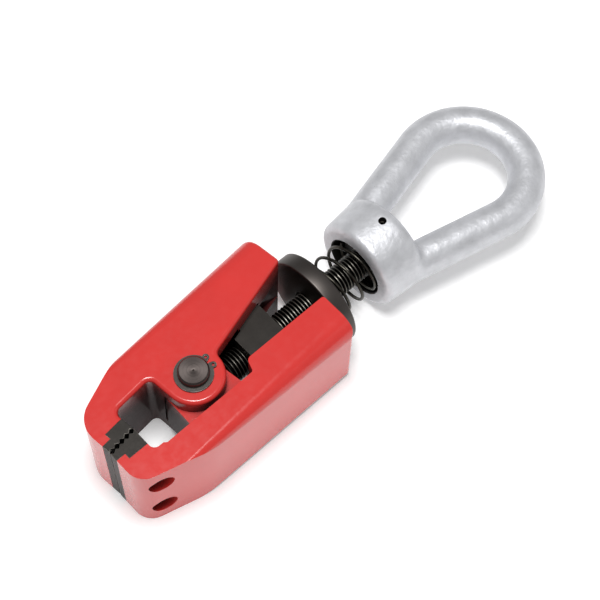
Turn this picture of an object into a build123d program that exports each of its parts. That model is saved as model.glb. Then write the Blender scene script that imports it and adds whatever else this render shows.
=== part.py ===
from build123d import *
import math
import os

# Self-tightening pulling clamp: two cast jaws on a pivot pin, spread at their tails by a wedge on
# a threaded spindle, with a forged pull eye on the spindle's far end.
#
# Millimetres. X runs along the spindle towards the pull eye, Y towards the left jaw, Z up. Pieces
# are modelled about the point where the pivot axis crosses the spindle axis, and are lifted by half
# the jaws' height when they are written, so that the origin is on the rest plane under the pivot.

os.makedirs("parts", exist_ok=True)

# Overall sizes
JAW_HEIGHT = 56.0
JAW_HALF_WIDTH = 35.3
NOSE_LENGTH = 57.0
TAIL_LENGTH = 77.0
PIN_DIAMETER = 16.0
SPINDLE_DIAMETER = 16.0
SPINDLE_INNER_END = 20.6
EYE_STAND = 25.2
EYE_BOSS_LENGTH = 27.5
EYE_ARC_REACH = 86.3
EYE_ARC_RADIUS = 33.0
EYE_BAR_DIAMETER = 21.0

# Motion: the left jaw at rest is turned by SHUT_ANGLE from lying along the spindle. Pushing the
# spindle in by DRAW_TRAVEL lets it swing back by SWING_ANGLE.
SHUT_ANGLE = 5.7
SWING_ANGLE = 7.0
DRAW_TRAVEL = 6.0

# Clearances
FACE_GAP = 0.3
RUNNING_GAP = 0.05
SEAT_GAP = 0.02

# Outside of the nose: half width at the tip, corner radius there, where the taper ends, and the
# radius that it runs into the straight side with. The swinging jaw's nose is the rounder one.
LEFT_NOSE = (24.0, 15.0, 20.0, 40.0)
RIGHT_NOSE = (25.6, 11.0, 22.0, 60.0)

# Jaws
LEFT_TAIL_RADIUS = 6.0
RIGHT_TAIL_RADIUS = 3.0
TOP_ROUND_NOSE = 1.5
TOP_ROUND_TAIL = 11.5
BOTTOM_ROUND_NOSE = 1.2
BOTTOM_ROUND_TAIL = 5.0
EAR_THICKNESS = 9.6
EAR_EDGE_ROUND = 2.2
EAR_RADIUS = 16.0
EAR_NECK_RADIUS = 4.0
THROAT_WALL = 15.0
THROAT_RADIUS = 3.5
EAR_GAP = 2.4
THROAT_STEP = 1.2
THROAT_DRAFT = 2.6
FLANGE_EDGE = -11.4
FLANGE_EDGE_START = 25.0
LEFT_FLANGE_START = 0.2
LEFT_FLANGE_END = 11.5
CHANNEL_GAP = 1.6
CHANNEL_FLOOR = 18.6
KNUCKLE_FLARE = 2.5
SLOT_END = 36.0

# Gripping inserts, with a narrow toe in front and a wide heel behind it
INSERT_LENGTH = 16.6
INSERT_HEEL_LENGTH = 11.4
LEFT_HEEL_SEAT = 10.05
LEFT_TOE_SEAT = 6.6
LEFT_BITE = (1.5, 2.0)
RIGHT_HEEL_SEAT = 12.6
RIGHT_TOE_SEAT = 9.4
RIGHT_BITE = (-4.7, -2.3)
TOOTH_COUNT = 5
TOOTH_DEPTH = 1.3

# M6 socket-head screws that hold the inserts
SCREW_DIAMETER = 6.0
SCREW_HEAD_DIAMETER = 10.0
SCREW_HEAD_GAP = 1.5
SCREW_HEAD_HEIGHT = 6.0
SCREW_SOCKET = 5.0
SCREW_SOCKET_DEPTH = 3.2
SCREW_HEAD_BED = 4.2
SCREW_THREAD_LENGTH = 6.0
SCREW_SPACING = 27.2
LOCK_WASHER_THICKNESS = 1.6
LOCK_WASHER_INSET = 0.05

# Pivot pin and its retaining ring
PIN_HEAD_DIAMETER = 20.0
PIN_HEAD_HEIGHT = 4.0
PIN_STAND = 5.0
PIN_CHAMFER = 0.8
RING_THICKNESS = 1.0
RING_GROOVE_DEPTH = 0.4
RING_WIDTH = 2.48
RING_LUG_RADIUS = 1.75
RING_LUG_STAND = 0.2
RING_LUG_HALF_SPACING = 2.8
RING_MOUTH = 1.3
RING_EYE_DIAMETER = 1.6

# Wedge nut
WEDGE_FRONT = 31.7
WEDGE_LENGTH = 22.2
WEDGE_HALF_HEIGHT = 14.8
WEDGE_GUIDE_SIDE = -20.0
WEDGE_FRONT_LEFT = 5.7
WEDGE_LIP = (5.8, 7.3)
WEDGE_WING = 21.0
WEDGE_REAR_LEFT = 11.9
WEDGE_FLANK_ANGLE = 36.0
RAMP_NOSE_BACK = 8.2
POCKET_FRONT_GAP = 4.2
POCKET_DEPTH = 25.7

# Spring plate, return spring and its seat washer
PLATE_DIAMETER = 55.8
PLATE_THICKNESS = 9.2
PLATE_BORE_GAP = 1.0
PLATE_EDGE_ROUND = 1.0
SPRING_RADIUS = 15.4
SPRING_WIRE = 1.8
SPRING_TURNS = 3.16
SPRING_START_ANGLE = 36.0
WASHER_THICKNESS = 1.5

# Pull eye and its lock pin
BOSS_FRONT_RADIUS = 26.5
BOSS_REAR_RADIUS = 27.9
BOSS_FRONT_ROUND = 4.3
BOSS_BORE_GAP = 1.2
BOSS_BORE_DEPTH = 8.0
BOSS_CROWN = 6.0
BOSS_BACK_WALL = 3.7
EYE_ROOT_BACK = 8.7
EYE_ROOT_Y = 10.9
LOCK_PIN_DIAMETER = 4.0
LOCK_PIN_FROM_END = 5.3
LOCK_PIN_LENGTH = 26.0
LOCK_PIN_RECESS = 4.0

HALF_HEIGHT = JAW_HEIGHT / 2
SLOT_HALF_HEIGHT = HALF_HEIGHT - EAR_THICKNESS
PLATE_FRONT = TAIL_LENGTH + FACE_GAP
PLATE_REAR = PLATE_FRONT + PLATE_THICKNESS
EYE_FRONT = PLATE_REAR + EYE_STAND
EYE_ARC_CENTRE = EYE_FRONT + EYE_ARC_REACH
BOSS_REAR = EYE_FRONT + EYE_BOSS_LENGTH
BOSS_BORE_RADIUS = SPRING_RADIUS + SPRING_WIRE / 2 + BOSS_BORE_GAP
SPINDLE_OUTER_END = BOSS_REAR - BOSS_BACK_WALL
LOCK_PIN_X = SPINDLE_OUTER_END - LOCK_PIN_FROM_END
THROAT_FLOOR = -EAR_RADIUS - EAR_GAP
WEDGE_REAR = WEDGE_FRONT + WEDGE_LENGTH
POCKET_FRONT = WEDGE_FRONT + WEDGE_LIP[0] - DRAW_TRAVEL - POCKET_FRONT_GAP
INSERT_HEEL_FRONT = -NOSE_LENGTH + INSERT_LENGTH - INSERT_HEEL_LENGTH
INSERT_REAR = -NOSE_LENGTH + INSERT_LENGTH
SCREW_X = INSERT_REAR - INSERT_HEEL_LENGTH / 2
SHUT_TO_LEFT = Rot(0, 0, -SHUT_ANGLE)
LEFT_TO_SHUT = Rot(0, 0, SHUT_ANGLE)


def rounded_outline(corners):
    """A closed face through (x, y, radius) corners, each rounded by its own radius."""
    places = [Vector(x, y) for x, y, _ in corners]
    stretches = []
    for index, (place, (_, _, radius)) in enumerate(zip(places, corners)):
        back = (places[index - 1] - place).normalized()
        ahead = (places[(index + 1) % len(places)] - place).normalized()
        half_angle = math.radians(back.get_angle(ahead)) / 2
        if radius:
            reach = radius / math.tan(half_angle)
            inward = (back + ahead).normalized() * (radius / math.sin(half_angle) - radius)
            stretches.append((place + back * reach, place + inward, place + ahead * reach))
        else:
            stretches.append((place,))
    edges = []
    for index, stretch in enumerate(stretches):
        if len(stretch) > 1:
            edges.append(ThreePointArc(*stretch))
        edges.append(Line(stretch[-1], stretches[(index + 1) % len(stretches)][0]))
    return make_face(edges).face()


def slab(face, half_height):
    """A plate of the given outline, as far above the spindle's axis as below it."""
    return extrude(face, amount=half_height, both=True)


def rod(radius, start, end, axis=Axis.X):
    """A round bar along X, Y or Z between two places on that axis."""
    turned = {Axis.X: Rot(0, 90, 0), Axis.Y: Rot(-90, 0, 0), Axis.Z: Rot(0, 0, 0)}[axis]
    bar = Cylinder(radius, abs(end - start), align=(Align.CENTER, Align.CENTER, Align.MIN))
    place = Vector(*axis.direction) * min(start, end)
    return Pos(*place) * turned * bar


def jaw_envelope():
    """The cast form both jaws share, whose long edges get rounder from the nose to the tail."""

    def section(x, top_round, bottom_round):
        width = 2 * JAW_HALF_WIDTH
        outline = Rectangle(width, JAW_HEIGHT).face()
        top = outline.vertices().group_by(Axis.Y)[-1]
        outline = outline.fillet_2d(top_round, top)
        low = outline.vertices().group_by(Axis.Y)[0]
        outline = outline.fillet_2d(bottom_round, low)
        return Plane.YZ.offset(x) * outline

    nose = section(-NOSE_LENGTH - 1, TOP_ROUND_NOSE, BOTTOM_ROUND_NOSE)
    tail = section(TAIL_LENGTH + 1, TOP_ROUND_TAIL, BOTTOM_ROUND_TAIL)
    return loft([nose, tail], ruled=True)


def outer_corners(side, toe_seat, nose):
    """The outside of a jaw in plan, from the toe of its insert round the nose."""
    tip, tip_radius, taper_end, taper_radius = nose
    return [
        (-NOSE_LENGTH, side * toe_seat, 0),
        (-NOSE_LENGTH, side * tip, tip_radius),
        (-taper_end, side * JAW_HALF_WIDTH, taper_radius),
    ]


def screw_places():
    """Heights of the two screws in each insert."""
    return (-SCREW_SPACING / 2, SCREW_SPACING / 2)


def screw_holes(side, heel_seat):
    """Through holes and counterbores for one insert's screws, along Y."""
    bed = side * (heel_seat + SCREW_HEAD_BED)
    holes = Part()
    for z in screw_places():
        shank = rod(SCREW_DIAMETER / 2 + FACE_GAP, side * (heel_seat - 1), bed, Axis.Y)
        recess = rod(SCREW_HEAD_DIAMETER / 2 + SCREW_HEAD_GAP, bed, side * JAW_HALF_WIDTH, Axis.Y)
        holes += Pos(SCREW_X, 0, z) * (shank + recess)
    return holes


def right_jaw():
    """The fixed jaw, with the knuckle that sits between the left jaw's ears."""
    plan = rounded_outline(
        outer_corners(-1, RIGHT_TOE_SEAT, RIGHT_NOSE)
        + [
            (TAIL_LENGTH, -JAW_HALF_WIDTH, RIGHT_TAIL_RADIUS),
            (TAIL_LENGTH, FLANGE_EDGE, 1.5),
            (FLANGE_EDGE_START, FLANGE_EDGE, 3.0),
            (FLANGE_EDGE_START - 2.4, THROAT_FLOOR, 1.5),
            (INSERT_REAR + 7.5, THROAT_FLOOR, 0.5),
            (INSERT_REAR + 6.0, THROAT_FLOOR + THROAT_STEP, 1.0),
            (INSERT_REAR, THROAT_FLOOR + THROAT_STEP, THROAT_RADIUS),
            (INSERT_REAR, -RIGHT_HEEL_SEAT, 0),
            (INSERT_HEEL_FRONT, -RIGHT_HEEL_SEAT, 0),
            (INSERT_HEEL_FRONT, -RIGHT_TOE_SEAT, 0),
        ]
    )
    knuckle_foot = THROAT_FLOOR - 2
    knuckle_plan = Circle(EAR_RADIUS) + make_face(
        Polyline(
            (-EAR_RADIUS, 0),
            (-EAR_RADIUS - 0.5, knuckle_foot),
            (EAR_RADIUS + KNUCKLE_FLARE, knuckle_foot),
            (EAR_RADIUS - 0.3, -2),
            close=True,
        )
    )
    jaw = slab(plan, HALF_HEIGHT) & jaw_envelope()
    jaw += slab(knuckle_plan, SLOT_HALF_HEIGHT - FACE_GAP)
    pocket_front = WEDGE_FRONT - DRAW_TRAVEL - FACE_GAP - 1
    pocket_rear = WEDGE_REAR + FACE_GAP
    pocket_floor = WEDGE_GUIDE_SIDE - FACE_GAP
    pocket = Pos((pocket_front + pocket_rear) / 2, pocket_floor / 2) * Rectangle(
        pocket_rear - pocket_front, -pocket_floor
    )
    jaw -= slab(pocket, WEDGE_HALF_HEIGHT + FACE_GAP)
    jaw -= rod(PIN_DIAMETER / 2 + SEAT_GAP, -HALF_HEIGHT, HALF_HEIGHT, Axis.Z)
    recess_front = SPINDLE_INNER_END - DRAW_TRAVEL - 2 * FACE_GAP
    recess_rear = EAR_RADIUS + KNUCKLE_FLARE
    recess_half = SPINDLE_DIAMETER / 2 + 2 * FACE_GAP
    recess = Pos((recess_front + recess_rear) / 2, 0) * Rectangle(
        recess_rear - recess_front, 2 * recess_half
    )
    jaw -= slab(recess, recess_half)
    jaw -= screw_holes(-1, RIGHT_HEEL_SEAT)
    return jaw


def left_plan():
    """The swinging jaw in plan, as it lies along the spindle."""
    open_slope = math.tan(math.radians(SWING_ANGLE - SHUT_ANGLE))
    tail = TAIL_LENGTH - FACE_GAP / 2
    flange_start = Vector(EAR_RADIUS, LEFT_FLANGE_START)
    flange_end = Vector(tail - LEFT_FLANGE_END * open_slope, LEFT_FLANGE_END)
    body = rounded_outline(
        outer_corners(1, LEFT_TOE_SEAT, LEFT_NOSE)
        + [
            (tail - JAW_HALF_WIDTH * open_slope, JAW_HALF_WIDTH, LEFT_TAIL_RADIUS),
            (flange_end.X, flange_end.Y, EAR_EDGE_ROUND + FACE_GAP),
            (flange_start.X, flange_start.Y, 0),
            (0, 0, 0),
            (-EAR_RADIUS, 0, 0),
            (-EAR_RADIUS, THROAT_WALL, THROAT_RADIUS),
            (INSERT_REAR + 0.2, THROAT_WALL, THROAT_RADIUS),
            (INSERT_REAR + 0.2, LEFT_HEEL_SEAT, 0),
            (INSERT_HEEL_FRONT, LEFT_HEEL_SEAT, 0),
            (INSERT_HEEL_FRONT, LEFT_TOE_SEAT, 0),
        ]
    )
    return body + Circle(EAR_RADIUS) + ear_neck(flange_start, flange_end)


def ear_neck(flange_start, flange_end):
    """The hollow round web between the ear and the straight edge of the left jaw's flange."""
    along = (flange_end - flange_start).normalized()
    away = Vector(along.Y, -along.X)
    foot = flange_start + away * EAR_NECK_RADIUS
    reach = EAR_RADIUS + EAR_NECK_RADIUS
    lead = foot.dot(along)
    centre = foot + along * (math.sqrt(lead**2 - foot.length**2 + reach**2) - lead)
    web = make_face(Polyline((0, 0), centre, centre - away * EAR_NECK_RADIUS, close=True))
    return web - Pos(*centre) * Circle(EAR_NECK_RADIUS)


def wedge_corners():
    """The wedge nut in plan, from its front left corner round its wing to the guide side."""
    rise = math.tan(math.radians(WEDGE_FLANK_ANGLE))
    wing_rear = WEDGE_REAR - (WEDGE_WING - WEDGE_REAR_LEFT) / rise
    lip_length, lip_left = WEDGE_LIP
    return [
        (WEDGE_FRONT, WEDGE_FRONT_LEFT, 0.5),
        (WEDGE_FRONT + lip_length, lip_left, 1.0),
        (WEDGE_FRONT + lip_length, WEDGE_WING, 1.0),
        (wing_rear, WEDGE_WING, 1.0),
        (WEDGE_REAR, WEDGE_REAR_LEFT, 0.6),
        (WEDGE_REAR, WEDGE_GUIDE_SIDE, 0.6),
        (WEDGE_FRONT, WEDGE_GUIDE_SIDE, 0.6),
    ]


def left_pocket():
    """Room in the left jaw for the wedge's wing, with the ramp that its flank bears on."""
    rise = math.tan(math.radians(WEDGE_FLANK_ANGLE))
    gap_along_x = FACE_GAP / math.sin(math.radians(WEDGE_FLANK_ANGLE))
    nose_x = WEDGE_REAR - RAMP_NOSE_BACK
    nose_y = WEDGE_REAR_LEFT + RAMP_NOSE_BACK * rise
    top_x = WEDGE_REAR - (POCKET_DEPTH - WEDGE_REAR_LEFT) / rise
    outlet_x = WEDGE_REAR + 4 * FACE_GAP
    return rounded_outline(
        [
            (POCKET_FRONT, -EAR_RADIUS, 0),
            (POCKET_FRONT, POCKET_DEPTH, 1.5),
            (top_x + gap_along_x, POCKET_DEPTH, 0.5),
            (nose_x + gap_along_x, nose_y, 1.0),
            (outlet_x, WEDGE_REAR_LEFT + 1.0, 0),
            (outlet_x, -EAR_RADIUS, 0),
        ]
    )


def throat_draft():
    """What the casting's draft takes off the throat's inner walls, more towards the underside."""
    front = INSERT_REAR + 0.2
    faces = []
    for z, draft in ((HALF_HEIGHT, -RUNNING_GAP), (-HALF_HEIGHT, THROAT_DRAFT)):
        outline = rounded_outline(
            [
                (front, -EAR_RADIUS, 0),
                (front, THROAT_WALL + draft, THROAT_RADIUS),
                (-EAR_RADIUS + draft, THROAT_WALL + draft, THROAT_RADIUS),
                (-EAR_RADIUS + draft, -EAR_RADIUS, 0),
            ]
        )
        faces.append(Pos(0, 0, z) * outline)
    return loft(faces, ruled=True)


def left_jaw():
    """The swinging jaw, with two ears round the right jaw's knuckle."""
    jaw = slab(left_plan(), HALF_HEIGHT) & jaw_envelope()
    ear_edges = (
        jaw.edges()
        .filter_by(GeomType.CIRCLE)
        .filter_by(lambda edge: abs(edge.radius - EAR_RADIUS) < 0.01)
        .group_by(Axis.Z)
    )
    jaw = fillet(ear_edges[-1], EAR_EDGE_ROUND)
    knuckle_room = Circle(EAR_RADIUS + 2 * FACE_GAP) + SHUT_TO_LEFT * Pos(SLOT_END / 2, 0) * Rectangle(
        SLOT_END, 2 * EAR_RADIUS
    )
    jaw -= slab(knuckle_room, SLOT_HALF_HEIGHT)
    jaw -= SHUT_TO_LEFT * slab(left_pocket(), WEDGE_HALF_HEIGHT + FACE_GAP)
    channel_length = TAIL_LENGTH + 5 - POCKET_FRONT
    channel = Pos(POCKET_FRONT + channel_length / 2, CHANNEL_FLOOR / 2 - 5) * Rectangle(
        channel_length, CHANNEL_FLOOR + 10
    )
    jaw -= SHUT_TO_LEFT * slab(channel, SPINDLE_DIAMETER / 2 + CHANNEL_GAP)
    jaw -= rod(PIN_DIAMETER / 2 + RUNNING_GAP, -HALF_HEIGHT, HALF_HEIGHT, Axis.Z)
    head_room = PIN_HEAD_HEIGHT + FACE_GAP - HALF_HEIGHT
    jaw -= rod(PIN_HEAD_DIAMETER / 2 + FACE_GAP, -HALF_HEIGHT, head_room, Axis.Z)
    jaw -= throat_draft()
    jaw -= screw_holes(1, LEFT_HEEL_SEAT)
    return LEFT_TO_SHUT * jaw


def insert(side, heel_seat, toe_seat, bite):
    """A hardened gripping block. Its serrated face runs from bite[0] at the toe to bite[1]."""
    toe_bite, heel_bite = bite
    pitch = INSERT_LENGTH / TOOTH_COUNT
    slope = (heel_bite - toe_bite) / INSERT_LENGTH
    teeth = []
    for tooth in range(TOOTH_COUNT):
        start = tooth * pitch
        crest = toe_bite + slope * start
        teeth.append((-NOSE_LENGTH + start, crest))
        teeth.append((-NOSE_LENGTH + start + pitch / 2, crest + slope * pitch / 2 + side * TOOTH_DEPTH))
    back = [
        (INSERT_REAR, heel_bite),
        (INSERT_REAR, side * (heel_seat - SEAT_GAP)),
        (INSERT_HEEL_FRONT + SEAT_GAP, side * (heel_seat - SEAT_GAP)),
        (INSERT_HEEL_FRONT + SEAT_GAP, side * (toe_seat - SEAT_GAP)),
        (-NOSE_LENGTH, side * (toe_seat - SEAT_GAP)),
    ]
    block = slab(make_face(Polyline(*teeth, *back, close=True)), HALF_HEIGHT)
    tapped = side * (heel_seat - SCREW_THREAD_LENGTH - 0.5)
    for z in screw_places():
        hole = rod(SCREW_DIAMETER / 2 + SEAT_GAP, tapped, side * heel_seat, Axis.Y)
        block -= Pos(SCREW_X, 0, z) * hole
    return block


def insert_screws(side, heel_seat):
    """Two socket-head screws, one above the other, that pull an insert into its seat."""
    bed = heel_seat + SCREW_HEAD_BED + LOCK_WASHER_THICKNESS
    screws = Part()
    for z in screw_places():
        shank = rod(SCREW_DIAMETER / 2, side * (heel_seat - SCREW_THREAD_LENGTH), side * bed, Axis.Y)
        head = rod(SCREW_HEAD_DIAMETER / 2, side * bed, side * (bed + SCREW_HEAD_HEIGHT), Axis.Y)
        rim = head.edges().group_by(Axis.Y)[-1 if side > 0 else 0]
        head = fillet(rim, 0.6)
        key = RegularPolygon(SCREW_SOCKET / 2, 6, major_radius=False)
        socket_floor = side * (bed + SCREW_HEAD_HEIGHT - SCREW_SOCKET_DEPTH)
        socket = extrude(Plane((0, socket_floor, 0), z_dir=(0, side, 0)) * key, SCREW_SOCKET_DEPTH + 1)
        screws += Pos(SCREW_X, 0, z) * (shank + head - socket)
    return screws


def lock_washers(side, heel_seat):
    """A split spring washer under each screw head."""
    bed = side * (heel_seat + SCREW_HEAD_BED)
    top = bed + side * LOCK_WASHER_THICKNESS
    outer = SCREW_HEAD_DIAMETER / 2 - LOCK_WASHER_INSET
    washers = Part()
    for z in screw_places():
        washer = rod(outer, bed, top, Axis.Y)
        washer -= rod(SCREW_DIAMETER / 2 + RUNNING_GAP, bed, top, Axis.Y)
        split = Pos(outer, (bed + top) / 2, 0) * Box(2 * outer, 4, 0.6)
        washers += Pos(SCREW_X, 0, z) * (washer - split)
    return washers


def pivot_pin():
    """The pin, with a flush head in the lower ear and a ring groove above the upper one."""
    top = HALF_HEIGHT + PIN_STAND
    pin = rod(PIN_DIAMETER / 2, -HALF_HEIGHT, top, Axis.Z)
    pin = chamfer(pin.edges().group_by(Axis.Z)[-1], PIN_CHAMFER)
    pin += rod(PIN_HEAD_DIAMETER / 2, -HALF_HEIGHT, PIN_HEAD_HEIGHT - HALF_HEIGHT, Axis.Z)
    low = HALF_HEIGHT + RUNNING_GAP
    high = low + RING_THICKNESS + 2 * RUNNING_GAP
    groove = rod(PIN_DIAMETER / 2 + 1, low, high, Axis.Z)
    groove -= rod(PIN_DIAMETER / 2 - RING_GROOVE_DEPTH, low, high, Axis.Z)
    return pin - groove


def retaining_ring():
    """The external ring with two plier lugs towards the spindle."""
    inner = PIN_DIAMETER / 2 - RING_GROOVE_DEPTH + SEAT_GAP
    outer = inner + RING_WIDTH
    lug_x = outer + RING_LUG_STAND
    plan = Sketch() + Circle(outer)
    for side in (-1, 1):
        plan += Pos(lug_x, side * RING_LUG_HALF_SPACING) * Circle(RING_LUG_RADIUS)
    plan -= Circle(inner)
    plan -= Pos(lug_x, 0) * Rectangle(2 * (lug_x - inner) + RING_WIDTH, RING_MOUTH)
    for side in (-1, 1):
        plan -= Pos(lug_x, side * RING_LUG_HALF_SPACING) * Circle(RING_EYE_DIAMETER / 2)
    ring = extrude(plan, RING_THICKNESS)
    return Pos(0, 0, HALF_HEIGHT + 2 * RUNNING_GAP) * ring


def wedge_nut():
    """The threaded wedge between the tails: its flank spreads the left jaw as it is drawn back."""
    wedge = slab(rounded_outline(wedge_corners()), WEDGE_HALF_HEIGHT)
    return wedge - rod(SPINDLE_DIAMETER / 2 + RUNNING_GAP, WEDGE_FRONT, WEDGE_REAR)


def spindle():
    """The threaded spindle from the wedge nut to the eye's boss."""
    bar = rod(SPINDLE_DIAMETER / 2, SPINDLE_INNER_END, SPINDLE_OUTER_END)
    bar = chamfer(bar.edges().filter_by(GeomType.CIRCLE), 1.0)
    return bar - lock_pin_hole()


def lock_pin_hole():
    """The cross hole for the lock pin, from the boss's top into the spindle's far side."""
    bottom = BOSS_REAR_RADIUS - LOCK_PIN_RECESS - LOCK_PIN_LENGTH
    hole = rod(LOCK_PIN_DIAMETER / 2 + SEAT_GAP, bottom, BOSS_REAR_RADIUS + 2, Axis.Z)
    return Pos(LOCK_PIN_X, 0, 0) * hole


def eye_lock_pin():
    """The slotted spring pin that locks the eye on the spindle."""
    bottom = BOSS_REAR_RADIUS - LOCK_PIN_RECESS - LOCK_PIN_LENGTH
    pin = rod(LOCK_PIN_DIAMETER / 2, bottom, bottom + LOCK_PIN_LENGTH, Axis.Z)
    pin -= rod(LOCK_PIN_DIAMETER / 2 - 0.8, bottom, bottom + LOCK_PIN_LENGTH, Axis.Z)
    slot = Pos(LOCK_PIN_DIAMETER / 2, 0, bottom + LOCK_PIN_LENGTH / 2)
    pin -= slot * Box(LOCK_PIN_DIAMETER, 0.7, LOCK_PIN_LENGTH)
    return Pos(LOCK_PIN_X, 0, 0) * pin


def eye_boss():
    """The eye's boss: a slightly tapered drum with a crowned back."""
    profile = rounded_outline(
        [
            (EYE_FRONT, 0, 0),
            (EYE_FRONT, BOSS_FRONT_RADIUS, BOSS_FRONT_ROUND),
            (BOSS_REAR - BOSS_CROWN, BOSS_REAR_RADIUS, BOSS_CROWN),
            (BOSS_REAR, BOSS_REAR_RADIUS - BOSS_CROWN, BOSS_CROWN),
            (BOSS_REAR, 0, 0),
        ]
    )
    return revolve(profile, Axis.X)


def eye_bow():
    """The eye's round bar: two straight arms that spread from the boss into one large arc."""
    root = Vector(EYE_FRONT - EYE_ROOT_BACK, EYE_ROOT_Y)
    away = EYE_ARC_CENTRE - root.X
    distance = math.hypot(away, EYE_ROOT_Y)
    arm_length = math.sqrt(distance**2 - EYE_ARC_RADIUS**2)
    angle = math.asin(EYE_ARC_RADIUS / distance) - math.atan2(EYE_ROOT_Y, away)
    heading = Vector(math.cos(angle), math.sin(angle))
    start_x = BOSS_REAR - 1.3 * BOSS_CROWN - EYE_BAR_DIAMETER / 2
    start = root + heading * ((start_x - root.X) / heading.X)
    touch = root + heading * arm_length
    top = Vector(EYE_ARC_CENTRE + EYE_ARC_RADIUS, 0)
    path = Line(start, touch) + ThreePointArc(touch, top, Vector(touch.X, -touch.Y))
    path += Line(Vector(touch.X, -touch.Y), Vector(start.X, -start.Y))
    ends = Plane(origin=start, z_dir=heading)
    return sweep(ends * Circle(EYE_BAR_DIAMETER / 2), path=path)


def pull_eye():
    """The forged eye, bored in front for the spring and tapped for the spindle."""
    eye = eye_boss() + eye_bow()
    bore_end = EYE_FRONT + BOSS_BORE_DEPTH
    eye -= rod(BOSS_BORE_RADIUS, EYE_FRONT, bore_end)
    eye -= rod(SPINDLE_DIAMETER / 2 + SEAT_GAP, bore_end, SPINDLE_OUTER_END + 0.5)
    return eye - lock_pin_hole()


def spring_plate():
    """The thick round plate that the return spring presses on the jaws' tails."""
    plate = rod(PLATE_DIAMETER / 2, PLATE_FRONT, PLATE_REAR)
    plate = fillet(plate.edges().filter_by(GeomType.CIRCLE), PLATE_EDGE_ROUND)
    return plate - rod(SPINDLE_DIAMETER / 2 + PLATE_BORE_GAP, PLATE_FRONT, PLATE_REAR)


def spring_seat_washer():
    """The washer at the bottom of the eye's bore that the spring turns on."""
    rear = EYE_FRONT + BOSS_BORE_DEPTH - SEAT_GAP
    front = rear - WASHER_THICKNESS
    washer = rod(BOSS_BORE_RADIUS - FACE_GAP, front, rear)
    return washer - rod(SPINDLE_DIAMETER / 2 + FACE_GAP, front, rear)


def return_spring():
    """The compression spring between the plate and the eye."""
    start = PLATE_REAR + SPRING_WIRE / 2 + RUNNING_GAP
    end = EYE_FRONT + BOSS_BORE_DEPTH - WASHER_THICKNESS - SPRING_WIRE / 2 - 2 * RUNNING_GAP
    path = Helix((end - start) / SPRING_TURNS, end - start, SPRING_RADIUS)
    wire = Plane(origin=path @ 0, z_dir=path % 0) * Circle(SPRING_WIRE / 2)
    coil = Rot(0, 90, 0) * sweep(wire, path=path, is_frenet=True)
    return Pos(start, 0, 0) * Rot(SPRING_START_ANGLE, 0, 0) * coil


def pieces():
    """Every piece by its name."""
    left = (LEFT_HEEL_SEAT, LEFT_TOE_SEAT)
    right = (RIGHT_HEEL_SEAT, RIGHT_TOE_SEAT)
    return {
        "right_jaw": right_jaw(),
        "left_jaw": left_jaw(),
        "right_insert": insert(-1, *right, RIGHT_BITE),
        "left_insert": LEFT_TO_SHUT * insert(1, *left, LEFT_BITE),
        "right_insert_screws": insert_screws(-1, RIGHT_HEEL_SEAT),
        "left_insert_screws": LEFT_TO_SHUT * insert_screws(1, LEFT_HEEL_SEAT),
        "right_lock_washers": lock_washers(-1, RIGHT_HEEL_SEAT),
        "left_lock_washers": LEFT_TO_SHUT * lock_washers(1, LEFT_HEEL_SEAT),
        "pivot_pin": pivot_pin(),
        "pivot_retaining_ring": retaining_ring(),
        "wedge_nut": wedge_nut(),
        "spindle": spindle(),
        "spring_plate": spring_plate(),
        "return_spring": return_spring(),
        "spring_seat_washer": spring_seat_washer(),
        "pull_eye": pull_eye(),
        "eye_lock_pin": eye_lock_pin(),
    }


for name, piece in pieces().items():
    export_step(Pos(0, 0, HALF_HEIGHT) * piece, f"parts/{name}.step")
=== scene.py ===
"""Builds the visible pieces of a self-tightening pulling clamp round its CAD frame.

Metres. X runs along the spindle towards the pull eye, Y towards the swinging left jaw, Z up.
"""

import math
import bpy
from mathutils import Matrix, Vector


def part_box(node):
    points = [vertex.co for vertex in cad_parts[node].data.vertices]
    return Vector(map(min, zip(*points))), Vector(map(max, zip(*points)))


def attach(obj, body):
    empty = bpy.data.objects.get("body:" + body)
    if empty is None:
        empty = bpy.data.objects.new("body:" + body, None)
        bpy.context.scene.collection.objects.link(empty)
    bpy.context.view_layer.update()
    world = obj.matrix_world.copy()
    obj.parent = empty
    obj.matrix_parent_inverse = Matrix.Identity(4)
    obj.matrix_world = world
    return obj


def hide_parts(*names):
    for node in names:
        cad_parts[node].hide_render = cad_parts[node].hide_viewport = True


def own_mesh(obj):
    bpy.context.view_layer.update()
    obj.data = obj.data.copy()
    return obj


bl_info = {
    "name": "Pulling Clamp",
    "version": (1, 0, 0),
    "blender": (4, 5, 0),
    "location": "3D View > Sidebar > Clamp",
    "description": "Builds a self-tightening pulling clamp, its finishes and its studio",
    "category": "Add Mesh",
}

import bmesh
import bpy
from bpy.props import FloatProperty, FloatVectorProperty, IntProperty, PointerProperty
from mathutils import Matrix, Vector, noise

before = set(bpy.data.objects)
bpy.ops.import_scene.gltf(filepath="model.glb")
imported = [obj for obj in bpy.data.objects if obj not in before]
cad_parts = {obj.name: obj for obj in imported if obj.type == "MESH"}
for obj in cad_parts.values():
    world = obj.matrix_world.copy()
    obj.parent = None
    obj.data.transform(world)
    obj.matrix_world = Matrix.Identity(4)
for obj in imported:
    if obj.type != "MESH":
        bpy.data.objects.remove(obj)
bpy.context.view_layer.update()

MM = 0.001
SPINDLE_LOW, SPINDLE_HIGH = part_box("spindle")
AXIS_HEIGHT = (SPINDLE_LOW[2] + SPINDLE_HIGH[2]) / 2
SAME_POINT = 2e-6
WHITE = (1.0, 1.0, 1.0, 1.0)


# ---------------------------------------------------------------- small tools


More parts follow.
